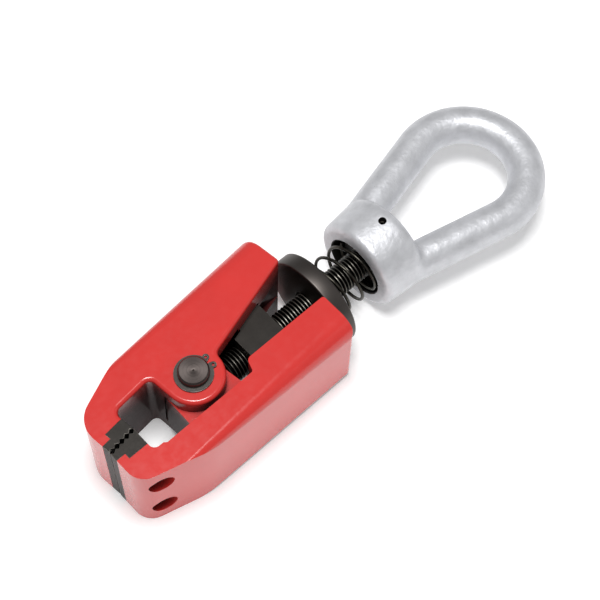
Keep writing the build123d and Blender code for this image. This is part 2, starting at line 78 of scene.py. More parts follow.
def linear(code):
    """An sRGB hex colour as linear light, with full alpha."""
    parts = [int(code[place : place + 2], 16) / 255 for place in (1, 3, 5)]
    light = [part / 12.92 if part <= 0.04045 else ((part + 0.055) / 1.055) ** 2.4 for part in parts]
    return (*light, 1.0)


def socket(sockets, key):
    """The socket with that identifier, or else that name or number."""
    if isinstance(key, int):
        return sockets[key]
    for found in sockets:
        if found.identifier == key:
            return found
    return sockets[key]


def add(tree, kind, inputs=None, output=0, **settings):
    """Adds a node; an input takes a value or another node's output. Gives the output asked for."""
    node = tree.nodes.new(kind)
    for key, value in settings.items():
        setattr(node, key, value)
    for key, source in (inputs or {}).items():
        end = socket(node.inputs, key)
        if isinstance(source, bpy.types.NodeSocket):
            tree.links.new(source, end)
        else:
            end.default_value = source
    return socket(node.outputs, output) if node.outputs else None


def place_object(name, mesh):
    """A new object of that mesh, at the origin."""
    piece = bpy.data.objects.new(name, mesh)
    bpy.context.scene.collection.objects.link(piece)
    return piece


def shape_to_object(name, shape, smooth_angle=35):
    """A bmesh as an object, smooth but for edges sharper than the angle in degrees."""
    mesh = bpy.data.meshes.new(name)
    shape.to_mesh(mesh)
    shape.free()
    mesh.shade_smooth()
    mesh.set_sharp_from_angle(angle=math.radians(smooth_angle))
    return place_object(name, mesh)


def bake_modifiers(piece):
    """Makes the piece's modifiers part of its mesh."""
    graph = bpy.context.evaluated_depsgraph_get()
    mesh = bpy.data.meshes.new_from_object(
        piece.evaluated_get(graph), preserve_all_data_layers=True, depsgraph=graph
    )
    piece.modifiers.clear()
    old = piece.data
    piece.data = mesh
    bpy.data.meshes.remove(old)


def weigh_normals(piece):
    """Keeps wide flats flat to the eye beside their rounded edges."""
    modifier = piece.modifiers.new("Flats", "WEIGHTED_NORMAL")
    modifier.keep_sharp = True
    bake_modifiers(piece)


def finish_piece(piece, material, body, slot, *nodes):
    """Gives a piece its material and its body, and hides the CAD nodes it stands for."""
    if material:
        piece.data.materials.clear()
        piece.data.materials.append(material)
    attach(piece, body)
    if nodes:
        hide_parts(*nodes)


def turned(shape, profile, count, centre, axis="Z"):
    """Turns (along, radius) pairs about an axis into a closed skin; a radius may be a function."""
    frames = {
        "X": Matrix(((0, 0, 1), (1, 0, 0), (0, 1, 0))),
        "Y": Matrix(((0, 1, 0), (0, 0, 1), (1, 0, 0))),
        "Z": Matrix.Identity(3),
    }
    rings = []
    for along, radius in profile:
        if radius == 0:
            rings.append([shape.verts.new(Vector(centre) + frames[axis] @ Vector((0, 0, along)))])
            continue
        ring = []
        for step in range(count):
            angle = 2 * math.pi * step / count
            reach = radius(angle) if callable(radius) else radius
            spot = Vector((reach * math.cos(angle), reach * math.sin(angle), along))
            ring.append(shape.verts.new(Vector(centre) + frames[axis] @ spot))
        rings.append(ring)
    pairs = list(zip(rings, rings[1:]))
    if len(rings[0]) > 1 and len(rings[-1]) > 1:
        pairs.append((rings[-1], rings[0]))
    for lower, upper in pairs:
        for step in range(count):
            after = (step + 1) % count
            corners = [lower[step % len(lower)], lower[after % len(lower)]]
            corners += [upper[after % len(upper)], upper[step % len(upper)]]
            corners = list(dict.fromkeys(corners))
            if len(corners) > 2:
                shape.faces.new(corners)
    bmesh.ops.recalc_face_normals(shape, faces=shape.faces)


def softened_copy(node, width, segments, angle=30):
    """A CAD node's mesh with whole flats and its sharp edges rounded; "edge" marks the rounds."""
    shape = bmesh.new()
    shape.from_mesh(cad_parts[node].data)
    mark = shape.faces.layers.float.new("edge")
    bmesh.ops.remove_doubles(shape, verts=shape.verts, dist=SAME_POINT)
    bmesh.ops.dissolve_limit(
        shape, angle_limit=math.radians(0.4), verts=shape.verts, edges=shape.edges
    )
    sharp = [
        edge
        for edge in shape.edges
        if len(edge.link_faces) == 2 and edge.calc_face_angle() > math.radians(angle)
    ]
    rounds = bmesh.ops.bevel(
        shape,
        geom=sharp,
        offset=width,
        offset_type="OFFSET",
        segments=segments,
        profile=0.5,
        affect="EDGES",
        clamp_overlap=True,
    )
    for face in rounds["faces"]:
        face[mark] = 1.0
    piece = shape_to_object(node + "_piece", shape, smooth_angle=40)
    weigh_normals(piece)
    return piece


# ---------------------------------------------------------------- node trees

MATH = "ShaderNodeMath"


def geometry_tree(name, inputs):
    """A Geometry Nodes tree with the given inputs, and the outputs of its input node by name."""
    tree = bpy.data.node_groups.new(name, "GeometryNodeTree")
    kinds = {
        float: "NodeSocketFloat",
        int: "NodeSocketInt",
        bpy.types.Material: "NodeSocketMaterial",
    }
    tree.interface.new_socket("Geometry", in_out="INPUT", socket_type="NodeSocketGeometry")
    for label, kind in inputs.items():
        tree.interface.new_socket(label, in_out="INPUT", socket_type=kinds[kind])
    tree.interface.new_socket("Geometry", in_out="OUTPUT", socket_type="NodeSocketGeometry")
    given = add(tree, "NodeGroupInput").node.outputs
    return tree, {output.name: output for output in given if output.name}


def grown_piece(name, seed_mesh, tree, values):
    """The plain mesh object that a tree makes of a mesh with those input values."""
    piece = place_object(name, seed_mesh)
    modifier = piece.modifiers.new(tree.name, "NODES")
    modifier.node_group = tree
    for item in tree.interface.items_tree:
        if item.in_out == "INPUT" and item.name in values:
            modifier[item.identifier] = values[item.name]
    bake_modifiers(piece)
    return piece


def work_out(tree, known, steps):
    """Adds a calculation, step by step: result, operation, and numbers or names known by then."""
    for result, operation, *parts in steps:
        inputs = {place: known.get(part, part) for place, part in enumerate(parts)}
        known[result] = add(tree, MATH, inputs, operation=operation)


def close_tree(tree, geometry, material):
    """Ends a tree: real geometry, in its material."""
    real = add(tree, "GeometryNodeRealizeInstances", {"Geometry": geometry})
    painted = add(tree, "GeometryNodeSetMaterial", {"Geometry": real, "Material": material})
    add(tree, "NodeGroupOutput", {0: painted})


def thread_tree():
    """A threaded bar along X: rows of points on the helix, their radius by the thread's form."""
    inputs = dict.fromkeys(("Start", "End", "Radius", "Pitch", "Depth", "Chamfer", "Height"), float)
    inputs.update({"Rows": int, "Segments": int, "Material": bpy.types.Material})
    tree, known = geometry_tree("Threaded bar", inputs)
    counts = {"Vertices X": known["Rows"], "Vertices Y": known["Segments"]}
    grid = add(tree, "GeometryNodeMeshGrid", {"Size X": 1.0, "Size Y": 1.0, **counts})
    spot = add(tree, "ShaderNodeSeparateXYZ", {0: add(tree, "GeometryNodeInputPosition")})
    known.update({"x": spot, "y": spot.node.outputs["Y"]})

    # Thread form: a flat crest, a straight flank and a flat root, over half a pitch
    crest_flat, root_flat = 1 / 6, 1 / 6
    slope = 1 / (1 - crest_flat - root_flat)
    first_row, last_row = 1e-5, 1 - 1e-5
    steps = (
        ("row", "ADD", "x", 0.5),
        ("turn", "ADD", "y", 0.5),
        ("length", "SUBTRACT", "End", "Start"),
        ("spare", "MULTIPLY", "Pitch", 2.0),
        ("stretch", "ADD", "length", "spare"),
        ("run", "MULTIPLY", "row", "stretch"),
        ("lead", "MULTIPLY", "turn", "Pitch"),
        ("before", "SUBTRACT", "Start", "Pitch"),
        ("level", "ADD", "before", "run"),
        ("free", "ADD", "level", "lead"),
        ("ended", "MINIMUM", "free", "End"),
        ("along", "MAXIMUM", "ended", "Start"),
        ("unwound", "SUBTRACT", "along", "lead"),
        ("turns", "DIVIDE", "unwound", "Pitch"),
        ("saw", "FRACT", "turns"),
        ("double", "MULTIPLY", "saw", 2.0),
        ("centred", "SUBTRACT", "double", 1.0),
        ("fold", "ABSOLUTE", "centred"),
        ("flank", "SUBTRACT", "fold", crest_flat),
        ("steep", "MULTIPLY", "flank", slope),
        ("floored", "MAXIMUM", "steep", 0.0),
        ("down", "MINIMUM", "floored", 1.0),
        ("ridge", "SUBTRACT", 1.0, "down"),
        ("sunk", "MULTIPLY", "down", "Depth"),
        ("threaded", "SUBTRACT", "Radius", "sunk"),
        ("end_radius", "SUBTRACT", "Radius", "Chamfer"),
        ("from_start", "SUBTRACT", "along", "Start"),
        ("to_end", "SUBTRACT", "End", "along"),
        ("start_cone", "ADD", "end_radius", "from_start"),
        ("end_cone", "ADD", "end_radius", "to_end"),
        ("start_cut", "MINIMUM", "threaded", "start_cone"),
        ("cut", "MINIMUM", "start_cut", "end_cone"),
        ("past_first", "GREATER_THAN", "row", first_row),
        ("short_of_last", "LESS_THAN", "row", last_row),
        ("inside", "MULTIPLY", "past_first", "short_of_last"),
        ("reach", "MULTIPLY", "cut", "inside"),
        ("angle", "MULTIPLY", "turn", 2 * math.pi),
        ("sine", "SINE", "angle"),
        ("cosine", "COSINE", "angle"),
        ("side", "MULTIPLY", "reach", "sine"),
        ("rise", "MULTIPLY", "reach", "cosine"),
        ("up", "ADD", "rise", "Height"),
    )
    work_out(tree, known, steps)
    place = add(
        tree, "ShaderNodeCombineXYZ", {"X": known["along"], "Y": known["side"], "Z": known["up"]}
    )
    ridged = add(
        tree,
        "GeometryNodeStoreNamedAttribute",
        {"Geometry": grid, "Name": "crest", "Value": known["ridge"]},
        data_type="FLOAT",
        domain="POINT",
    )
    bar = add(tree, "GeometryNodeSetPosition", {"Geometry": ridged, "Position": place})
    joined = add(tree, "GeometryNodeMergeByDistance", {"Geometry": bar, "Distance": SAME_POINT})
    close_tree(tree, joined, known["Material"])
    return tree


def coil_tree():
    """A coil spring of round wire along X."""
    inputs = dict.fromkeys(("Start", "End", "Radius", "Wire", "Turns", "Phase", "Height"), float)
    inputs.update({"Points": int, "Sides": int, "Material": bpy.types.Material})
    tree, known = geometry_tree("Coil spring", inputs)
    line = add(tree, "GeometryNodeCurvePrimitiveLine", {"End": (1, 0, 0)})
    even = add(tree, "GeometryNodeResampleCurve", {"Curve": line, "Count": known["Points"]})
    known["share"] = add(tree, "GeometryNodeSplineParameter")
    steps = (
        ("turned", "MULTIPLY", "share", "Turns"),
        ("swept", "MULTIPLY", "turned", 2 * math.pi),
        ("angle", "ADD", "swept", "Phase"),
        ("length", "SUBTRACT", "End", "Start"),
        ("run", "MULTIPLY", "share", "length"),
        ("along", "ADD", "Start", "run"),
        ("sine", "SINE", "angle"),
        ("cosine", "COSINE", "angle"),
        ("side", "MULTIPLY", "Radius", "sine"),
        ("down", "MULTIPLY", "Radius", "cosine"),
        ("up", "SUBTRACT", "Height", "down"),
    )
    work_out(tree, known, steps)
    place = add(
        tree, "ShaderNodeCombineXYZ", {"X": known["along"], "Y": known["side"], "Z": known["up"]}
    )
    path = add(tree, "GeometryNodeSetPosition", {"Geometry": even, "Position": place})
    section = add(
        tree,
        "GeometryNodeCurvePrimitiveCircle",
        {"Resolution": known["Sides"], "Radius": known["Wire"]},
    )
    wire = add(
        tree,
        "GeometryNodeCurveToMesh",
        {"Curve": path, "Profile Curve": section, "Fill Caps": True},
    )
    close_tree(tree, wire, known["Material"])
    return tree


def row_tree():
    """Copies of a piece of hardware in an upright row."""
    inputs = {"Count": int, "Spacing": float, "Material": bpy.types.Material}
    tree, known = geometry_tree("Hardware row", inputs)
    step = add(tree, "ShaderNodeCombineXYZ", {"Z": known["Spacing"]})
    line = add(tree, "GeometryNodeMeshLine", {"Count": known["Count"], "Offset": step})
    copies = add(
        tree, "GeometryNodeInstanceOnPoints", {"Points": line, "Instance": known["Geometry"]}
    )
    close_tree(tree, copies, known["Material"])
    return tree


# ---------------------------------------------------------------- materials

# A noise's Scale is one over the size of its blotches, and most of its values are in MIDDLE
NOISE = "ShaderNodeTexNoise"
RANGE = "ShaderNodeMapRange"
MIX = "ShaderNodeMix"
BUMP = "ShaderNodeBump"
COLOURS = {"output": "Result_Color", "data_type": "RGBA"}
MIDDLE = {"From Min": 0.3, "From Max": 0.7}


def new_material(name):
    """An empty node material, and the object coordinates to pattern it by."""
    material = bpy.data.materials.new(name)
    material.use_nodes = True
    material.node_tree.nodes.clear()
    here = add(material.node_tree, "ShaderNodeTexCoord", output="Object")
    return material, material.node_tree, here


def close_material(tree, inputs):
    """Ends a material: its shader, with those inputs."""
    shader = add(tree, "ShaderNodeBsdfPrincipled", inputs)
    add(tree, "ShaderNodeOutputMaterial", {"Surface": shader})


def shade(colour, share):
    """The colour made darker or lighter by that share."""
    return (*(min(1.0, part * share) for part in colour[:3]), 1.0)


def mottled(tree, here, size, noise_form, span, first, second):
    """A colour from the first to the second, in blotches of that size over a span of the noise."""
    blotches = add(tree, NOISE, {"Vector": here, "Scale": 1 / size, **noise_form})
    share = add(tree, RANGE, {"Value": blotches, **span})
    colours = {"Factor_Float": share, "A_Color": first, "B_Color": second}
    return add(tree, MIX, colours, **COLOURS)


def red_enamel(colour):
    """Sprayed gloss enamel on a sand casting: wet highlights, broken by the casting's grain;
    painted shade darkens its pockets to nearly black.
    """
    material, tree, here = new_material("Sprayed gloss red enamel on sand-cast steel")
    film = mottled(tree, here, 22 * MM, {}, MIDDLE, shade(colour, 0.94), colour)
    # Painted shade: ambient occlusion darkens the colour to nearly black deep in the pockets
    pocket = {"Distance": 60 * MM}
    reach = add(tree, "ShaderNodeAmbientOcclusion", pocket, output="AO", samples=8)
    unshaded = add(tree, RANGE, {"Value": reach, "From Min": 0.1, "From Max": 0.42})
    shade_and_film = {"A_Color": shade(colour, 0.04), "B_Color": film}
    film_with_painted_shade = add(tree, MIX, {"Factor_Float": unshaded, **shade_and_film}, **COLOURS)
    grit = add(
        tree, NOISE, {"Vector": here, "Scale": 1 / (3.2 * MM), "Detail": 3.0, "Roughness": 0.6}
    )
    peel = add(tree, NOISE, {"Vector": here, "Scale": 1 / (0.9 * MM), "Detail": 1.0})
    grain = add(tree, BUMP, {"Height": grit, "Distance": 0.03 * MM})
    skin = add(tree, BUMP, {"Height": peel, "Distance": 0.006 * MM, "Normal": grain})
    gloss = add(tree, RANGE, {"Value": grit, **MIDDLE, "To Min": 0.17, "To Max": 0.26})
    dull = add(tree, RANGE, {"Value": unshaded, "To Min": 0.7, "To Max": 0.0})
    close_material(
        tree,
        {
            "Base Color": film_with_painted_shade,
            "Normal": skin,
            "Roughness": add(tree, MATH, {0: gloss, 1: dull}, operation="ADD"),
            "IOR": 1.5,
            "Coat Weight": 0.2,
            "Coat Roughness": 0.12,
        },
    )
    return material


def black_oxide(name, colour, edge_colour):
    """Hot-blacked machined steel: a dull brown-black skin that rubs to brighter steel on edges. The
    pull eye's bores use it as painted shade.
    """
    material, tree, here = new_material(name)
    edge = add(tree, "ShaderNodeAttribute", output="Fac", attribute_name="edge")
    grain = add(
        tree, NOISE, {"Vector": here, "Scale": 1 / (1.1 * MM), "Detail": 4.0, "Roughness": 0.65}
    )
    marks = add(tree, NOISE, {"Vector": here, "Scale": 1 / (2.5 * MM)})
    bare = add(tree, RANGE, {"Value": marks, "From Min": 0.38, "From Max": 0.62})
    rub = add(tree, MATH, {0: edge, 1: bare}, operation="MULTIPLY")
    skin = mottled(tree, here, 6 * MM, {"Detail": 3.0}, MIDDLE, shade(colour, 0.8), colour)
    worn = {"A_Color": skin, "B_Color": edge_colour}
    close_material(
        tree,
        {
            "Base Color": add(tree, MIX, {"Factor_Float": rub, **worn}, **COLOURS),
            "Roughness": add(
                tree, RANGE, {"Value": grain, **MIDDLE, "To Min": 0.42, "To Max": 0.58}
            ),
            "Normal": add(tree, BUMP, {"Height": grain, "Distance": 0.02 * MM}),
            "Metallic": 0.8,
        },
    )
    return material


def fastener_black(colour):
    """Phosphated alloy steel screws: near black, with a faint crystalline grain."""
    material, tree, here = new_material("Black phosphate on alloy steel")
    grain = add(
        tree, NOISE, {"Vector": here, "Scale": 1 / (0.5 * MM), "Detail": 3.0, "Roughness": 0.6}
    )
    crystals = add(tree, RANGE, {"Value": grain, "From Min": 0.35, "From Max": 0.75})
    tones = {"A_Color": colour, "B_Color": shade(colour, 2.2)}
    close_material(
        tree,
        {
            "Base Color": add(tree, MIX, {"Factor_Float": crystals, **tones}, **COLOURS),
            "Normal": add(tree, BUMP, {"Height": grain, "Distance": 0.01 * MM}),
            "Metallic": 0.7,
            "Roughness": 0.45,
        },
    )
    return material


def turned_steel(name, colour, axis, centre, ring_pitch, rough):
    """Steel faced on a lathe: fine rings about its axis that spread a light into two fans."""
    material, tree, here = new_material(name)
    flat = [0.0 if part == axis else 1.0 for part in "XYZ"]
    moved = add(tree, "ShaderNodeVectorMath", {0: here, 1: centre}, operation="SUBTRACT")
    across = add(tree, "ShaderNodeVectorMath", {0: moved, 1: flat}, operation="MULTIPLY")
    out = add(tree, "ShaderNodeVectorMath", {0: across}, output="Value", operation="LENGTH")
    turn = add(tree, MATH, {0: out, 1: 2 * math.pi / ring_pitch}, operation="MULTIPLY")
    wave = add(tree, MATH, {0: turn}, operation="SINE")
    groove = add(tree, RANGE, {"Value": wave, "From Min": -1.0})
    band = add(
        tree, NOISE, {"W": out, "Scale": 1 / (0.6 * MM), "Detail": 3.0}, noise_dimensions="1D"
    )
    streak = add(tree, RANGE, {"Value": band, **MIDDLE})
    stain_span = {"From Min": 0.35, "From Max": 0.75}
    tones = {"A_Color": shade(colour, 0.72), "B_Color": colour}
    tone = add(tree, MIX, {"Factor_Float": streak, **tones}, **COLOURS)
    faded = shade(colour, 0.85)
    spread = {"To Min": rough - 0.05, "To Max": rough + 0.06}
    close_material(
        tree,
        {
            "Base Color": mottled(tree, here, 5 * MM, {"Detail": 3.0}, stain_span, tone, faded),
            "Normal": add(tree, BUMP, {"Height": groove, "Distance": 0.006 * MM}),
            "Roughness": add(tree, RANGE, {"Value": band, **MIDDLE, **spread}),
            "Metallic": 1.0,
            "Anisotropic": 0.35,
            "Tangent": add(tree, "ShaderNodeTangent", direction_type="RADIAL", axis=axis),
        },
    )
    return material


def spring_wire(colour):
    """Oil-hardened spring wire: dark drawn steel with a smooth sheen."""
    material, tree, here = new_material("Oil-tempered spring wire")
    marks = add(
        tree, NOISE, {"Vector": here, "Scale": 1 / (1.6 * MM), "Detail": 4.0, "Roughness": 0.6}
    )
    light = add(tree, RANGE, {"Value": marks, "From Min": 0.35, "From Max": 0.7})
    tones = {"A_Color": colour, "B_Color": shade(colour, 1.9)}
    close_material(
        tree,
        {
            "Base Color": add(tree, MIX, {"Factor_Float": light, **tones}, **COLOURS),
            "Roughness": add(
                tree, RANGE, {"Value": marks, **MIDDLE, "To Min": 0.26, "To Max": 0.42}
            ),
            "Normal": add(tree, BUMP, {"Height": marks, "Distance": 0.008 * MM}),
            "Metallic": 1.0,
        },
    )
    return material


def thread_steel(root_colour, crest_highlight_colour):
    """A rolled thread, blacked and oiled: dark roots and flanks, with a painted highlight in
    patches along its crests.
    """
    material, tree, here = new_material("Rolled and blackened thread steel")
    crest = add(tree, "ShaderNodeAttribute", output="Fac", attribute_name="crest")
    # Painted highlight: the crests are coloured light, in patches, for the light they catch
    blotch = add(tree, NOISE, {"Vector": here, "Scale": 1 / (3 * MM), "Detail": 3.0})
    highlight_patches = add(tree, RANGE, {"Value": blotch, "From Min": 0.25, "From Max": 0.6, "To Min": 0.35})
    top = add(tree, RANGE, {"Value": crest, "From Min": 0.8})
    crest_highlight = add(tree, MATH, {0: top, 1: highlight_patches}, operation="MULTIPLY")
    grain = add(tree, NOISE, {"Vector": here, "Scale": 1 / (0.8 * MM), "Detail": 3.0})
    tones = {"A_Color": root_colour, "B_Color": crest_highlight_colour}
    close_material(
        tree,
        {
            "Base Color": add(tree, MIX, {"Factor_Float": crest_highlight, **tones}, **COLOURS),
            "Roughness": add(
                tree, RANGE, {"Value": grain, **MIDDLE, "To Min": 0.32, "To Max": 0.46}
            ),
            "Normal": add(tree, BUMP, {"Height": grain, "Distance": 0.01 * MM}),
            "Metallic": 0.9,
        },
    )
    return material


def galvanised(colour):
    """Hot-dip zinc over a drop forging: pale, mottled grey with soft runs, pits and spangle."""
    material, tree, here = new_material("Hot-dip galvanised drop forging")
    runny = {"Detail": 4.0, "Roughness": 0.55}
    tone = mottled(tree, here, 9 * MM, runny, MIDDLE, shade(colour, 0.8), colour)
    pits = {"From Min": 0.71, "From Max": 0.8}
    fine = add(
        tree, NOISE, {"Vector": here, "Scale": 1 / (1.4 * MM), "Detail": 4.0, "Roughness": 0.65}
    )
    lumps = add(
        tree, NOISE, {"Vector": here, "Scale": 1 / (4 * MM), "Detail": 3.0, "Roughness": 0.6}
    )
    runs = add(tree, BUMP, {"Height": lumps, "Distance": 0.35 * MM})
    close_material(
        tree,
        {
            "Base Color": mottled(tree, here, 0.9 * MM, {}, pits, tone, shade(colour, 0.45)),
            "Normal": add(tree, BUMP, {"Height": fine, "Distance": 0.05 * MM, "Normal": runs}),
            "Roughness": add(
                tree, RANGE, {"Value": fine, **MIDDLE, "To Min": 0.38, "To Max": 0.54}
            ),
            "Metallic": 0.5,
        },
    )
    return material


def white_table(colour, glow):
    """A matt white light table: even, faintly clouded and lit a little from below."""
    material, tree, here = new_material("Backlit matt white table")
    close_material(
        tree,
        {
            "Base Color": mottled(tree, here, 40 * MM, {}, MIDDLE, shade(colour, 0.985), colour),
            "Roughness": 0.9,
            "Specular IOR Level": 0.2,
            "Emission Color": WHITE,
            "Emission Strength": glow,
        },
    )
    return material


# ---------------------------------------------------------------- settings


def length_value(name, text, value):
    """A length that a user may change, given in millimetres and kept in metres."""
    return FloatProperty(
        name=name, description=text, default=value * MM, unit="LENGTH", precision=5
    )


def colour_value(name, text, code):
    """A colour that a user may change."""
    return FloatVectorProperty(
        name=name, description=text, default=linear(code), size=4, subtype="COLOR", min=0, max=1
    )


class ClampJawSettings(bpy.types.PropertyGroup):
    """Jaws, inserts and the hardware that holds them."""

    enamel: colour_value("Enamel", "Colour of the jaws' enamel", "#D63632")
    oxide: colour_value("Black oxide", "Colour of the inserts and the wedge", "#33302D")
    rubbed: colour_value("Rubbed edge", "Colour of steel showing through at edges", "#8A857E")
    fastener: colour_value("Fastener", "Colour of screws and washers", "#1B1A19")
    casting_round: length_value("Casting round", "Width of the rounding on the jaws' edges", 0.8)
    steel_round: length_value("Machined round", "Width of the broken edges of machined steel", 0.22)
    shut_angle: FloatProperty(
        name="Shut angle",
        description="How far the left jaw is turned from lying along the spindle",
        default=math.radians(5.7),
        subtype="ANGLE",
    )
    screws: IntProperty(name="Screws", description="Screws in each insert", default=2, min=1)
    screw_diameter: length_value("Screw", "Nominal diameter of the insert screws", 6.0)
    head_diameter: length_value("Screw head", "Diameter of the screws' heads", 10.0)
    head_height: length_value("Head height", "Height of the screws' heads", 6.0)
    socket_width: length_value("Socket", "Width of the hexagon socket across its flats", 5.0)
    socket_depth: length_value("Socket depth", "Depth of the hexagon socket", 3.2)


class ClampPivotSettings(bpy.types.PropertyGroup):
    """The pivot pin and its retaining ring."""

    steel: colour_value("Pin steel", "Colour of the pin's turned face", "#625A57")
    ring_steel: colour_value("Ring steel", "Colour of the retaining ring", "#4A4744")
    ring_edge: colour_value("Ring edge", "Colour of the retaining ring's rubbed edges", "#B0ABA4")
    pin_diameter: length_value("Pin", "Diameter of the pin", 16.0)
    head_diameter: length_value("Pin head", "Diameter of the pin's flush head", 20.0)
    head_height: length_value("Head height", "Height of the pin's head", 4.0)
    chamfer: length_value("Chamfer", "Chamfer round the pin's face", 0.8)
    centre_mark: length_value("Centre mark", "Radius of the lathe's centre mark", 0.5)
    groove_depth: length_value("Groove", "Depth of the ring's groove", 0.4)
    ring_round: length_value("Ring round", "Width of the ring's broken edges", 0.12)
    facing_pitch: length_value("Facing pitch", "Spacing of the rings that the lathe leaves", 0.5)


class ClampDriveSettings(bpy.types.PropertyGroup):
    """The spindle, the plate, the spring and its washer."""

    root: colour_value("Thread root", "Colour in the thread's roots", "#0F0E0D")
    # The crest colour is a painted highlight along the thread's crests
    crest: colour_value("Thread crest", "Colour of the thread's rubbed crests", "#8E8B82")
    plate_steel: colour_value("Plate steel", "Colour of the plate", "#5B5653")
    wire_steel: colour_value("Spring steel", "Colour of the spring's wire", "#3A3833")
    pitch: length_value("Pitch", "Pitch of the spindle's thread", 2.0)
    thread_depth: length_value("Thread depth", "Depth of the spindle's thread", 1.15)
    end_chamfer: length_value("End chamfer", "Chamfer on the spindle's ends", 1.4)
    plate_round: length_value("Plate round", "Rounding on the plate's edges", 1.0)
    plate_bore: length_value("Plate bore", "Radius of the plate's bore", 9.0)
    facing_pitch: length_value("Facing pitch", "Spacing of the rings on the plate's face", 0.6)
    wire: length_value("Wire", "Diameter of the spring's wire", 1.8)
    coil_radius: length_value("Coil radius", "Radius of the coils to the wire's middle", 15.4)
    coils: FloatProperty(name="Coils", description="Turns of the spring", default=3.16, min=1)
    first_angle: FloatProperty(
        name="First angle",
        description="How far round from the underside the spring's wire starts",
        default=math.radians(36),
        subtype="ANGLE",
    )
    washer_bore: length_value("Washer bore", "Radius of the seat washer's bore", 8.3)


class ClampEyeSettings(bpy.types.PropertyGroup):
    """The forged pull eye."""

    zinc: colour_value("Zinc", "Colour of the galvanised eye", "#DCDDE1")
    # Painted shade: the bore colour stands in for the shade inside the eye's bores
    bore_shade: colour_value("Bore steel", "Colour of the machined bore", "#2A2826")
    bore_edge: colour_value("Bore edge", "Colour of the bore's rubbed edges", "#6D6963")
    bar: length_value("Bar", "Diameter of the eye's bar", 21.0)
    arc: length_value("Arc", "Radius of the eye's arc to the bar's middle", 33.0)
    boss_front: length_value("Boss front", "Radius of the boss at its front", 26.5)
    boss_rear: length_value("Boss rear", "Radius of the boss at its back", 27.9)
    boss_length: length_value("Boss length", "Length of the boss", 27.5)
    front_round: length_value("Front round", "Rounding on the boss's front rim", 4.3)
    crown: length_value("Crown", "Rounding on the boss's back", 6.0)
    root_back: length_value("Arm root back", "How far before the boss the arms' lines start", 8.7)
    root_side: length_value("Arm root side", "How far from the axis the arms' lines start", 10.9)
    bore: length_value("Bore", "Radius of the boss's bore", 17.5)
    bore_depth: length_value("Bore depth", "Depth of the boss's bore", 8.0)
    pin_hole: length_value("Pin hole", "Radius of the lock pin's hole", 2.02)
    grain: length_value("Grain", "Size of the faces the forging is made of", 0.75)
    unevenness: length_value("Unevenness", "Depth of the forging's unevenness", 0.22)


class ClampStageSettings(bpy.types.PropertyGroup):
    """Floor, lights and camera."""

    paper: colour_value("Paper", "Colour of the floor", "#FBFBFB")
    floor_size: length_value("Floor", "Side of the floor", 6000)
    key_power: FloatProperty(name="Key light", description="Power of the key light", default=12.0)
    fill_power: FloatProperty(name="Fill light", description="Power of the fill light", default=0.6)
    table_glow: FloatProperty(name="Table glow", description="Light from below", default=0.2)
    sky: FloatProperty(name="Sky", description="Strength of the even light all round", default=0.28)
    lens: FloatProperty(name="Lens", description="Focal length in millimetres", default=90.17)


# ---------------------------------------------------------------- pieces

PIN_ROUGHNESS, PLATE_ROUGHNESS = 0.34, 0.4


class CLAMP_OT_jaws(bpy.types.Operator):
    """Cast jaws in gloss enamel, with their edges rounded as a casting's are"""

    bl_idname = "clamp.jaws"
    bl_label = "Jaws"

    def execute(self, context):
        jaw = context.scene.clamp_jaw
        enamel = red_enamel(jaw.enamel)
        for side in ("right", "left"):
            piece = softened_copy(f"{side}_jaw", jaw.casting_round, 3)
            finish_piece(piece, enamel, f"{side}_jaw_assembly", "red_enamel_casting", f"{side}_jaw")
        return {"FINISHED"}


class CLAMP_OT_inserts(bpy.types.Operator):
    """Serrated gripping inserts in blacked steel"""

    bl_idname = "clamp.inserts"
    bl_label = "Gripping inserts"

    def execute(self, context):
        jaw = context.scene.clamp_jaw
        oxide = black_oxide("Black oxide on machined steel", jaw.oxide, jaw.rubbed)
        for side in ("right", "left"):
            piece = softened_copy(f"{side}_insert", jaw.steel_round, 2)
            body, node = f"{side}_jaw_assembly", f"{side}_insert"
            finish_piece(piece, oxide, body, "black_oxide_steel", node)
        return {"FINISHED"}


def turned_box(node, turn):
    """Lowest and highest corner of a CAD node once it is turned about the pivot."""
    places = [turn @ vertex.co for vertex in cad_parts[node].data.vertices]
    low = Vector(min(place[axis] for place in places) for axis in range(3))
    high = Vector(max(place[axis] for place in places) for axis in range(3))
    return low, high


def hexagon(width):
    """A radius by angle that draws a hexagon of that width across its flats."""
    sixth = math.pi / 3
    return lambda angle: width / 2 / math.cos((angle + sixth / 2) % sixth - sixth / 2)


def knurled(radius):
    """A radius by angle that draws the fine ridges round a screw's head."""
    ridges, depth = 36, 0.09 * MM
    return lambda angle: radius - depth * (round(angle / math.pi * ridges) % 2)


def screw_mesh(jaw, x, tip, rim, z):
    """One socket-head screw from its tip to its rim, along Y."""
    outward = 1 if rim > tip else -1
    bed = rim - outward * jaw.head_height
    head, shank = jaw.head_diameter / 2, jaw.screw_diameter / 2
    floor = rim - outward * jaw.socket_depth
    knurl = knurled(head)
    hollow, mouth = hexagon(jaw.socket_width), hexagon(jaw.socket_width + 0.5 * MM)
    profile = [
        (tip, 0),
        (tip, shank - 0.6 * MM),
        (tip + outward * 0.6 * MM, shank),
        (bed, shank),
        (bed, head - 0.3 * MM),
        (bed + outward * 0.3 * MM, knurl),
        (rim - outward * 1.1 * MM, knurl),
        (rim - outward * 0.9 * MM, head - 0.1 * MM),
        (rim - outward * 0.3 * MM, head - 0.25 * MM),
        (rim, head - 0.8 * MM),
        (rim, mouth),
        (rim - outward * 0.3 * MM, hollow),
        (floor, hollow),
        (floor - outward * 0.8 * MM, 0),
    ]
    shape = bmesh.new()
    turned(shape, profile, 72, (x, 0, z), "Y")
    mesh = bpy.data.meshes.new("screw")
    shape.to_mesh(mesh)
    shape.free()
    return mesh


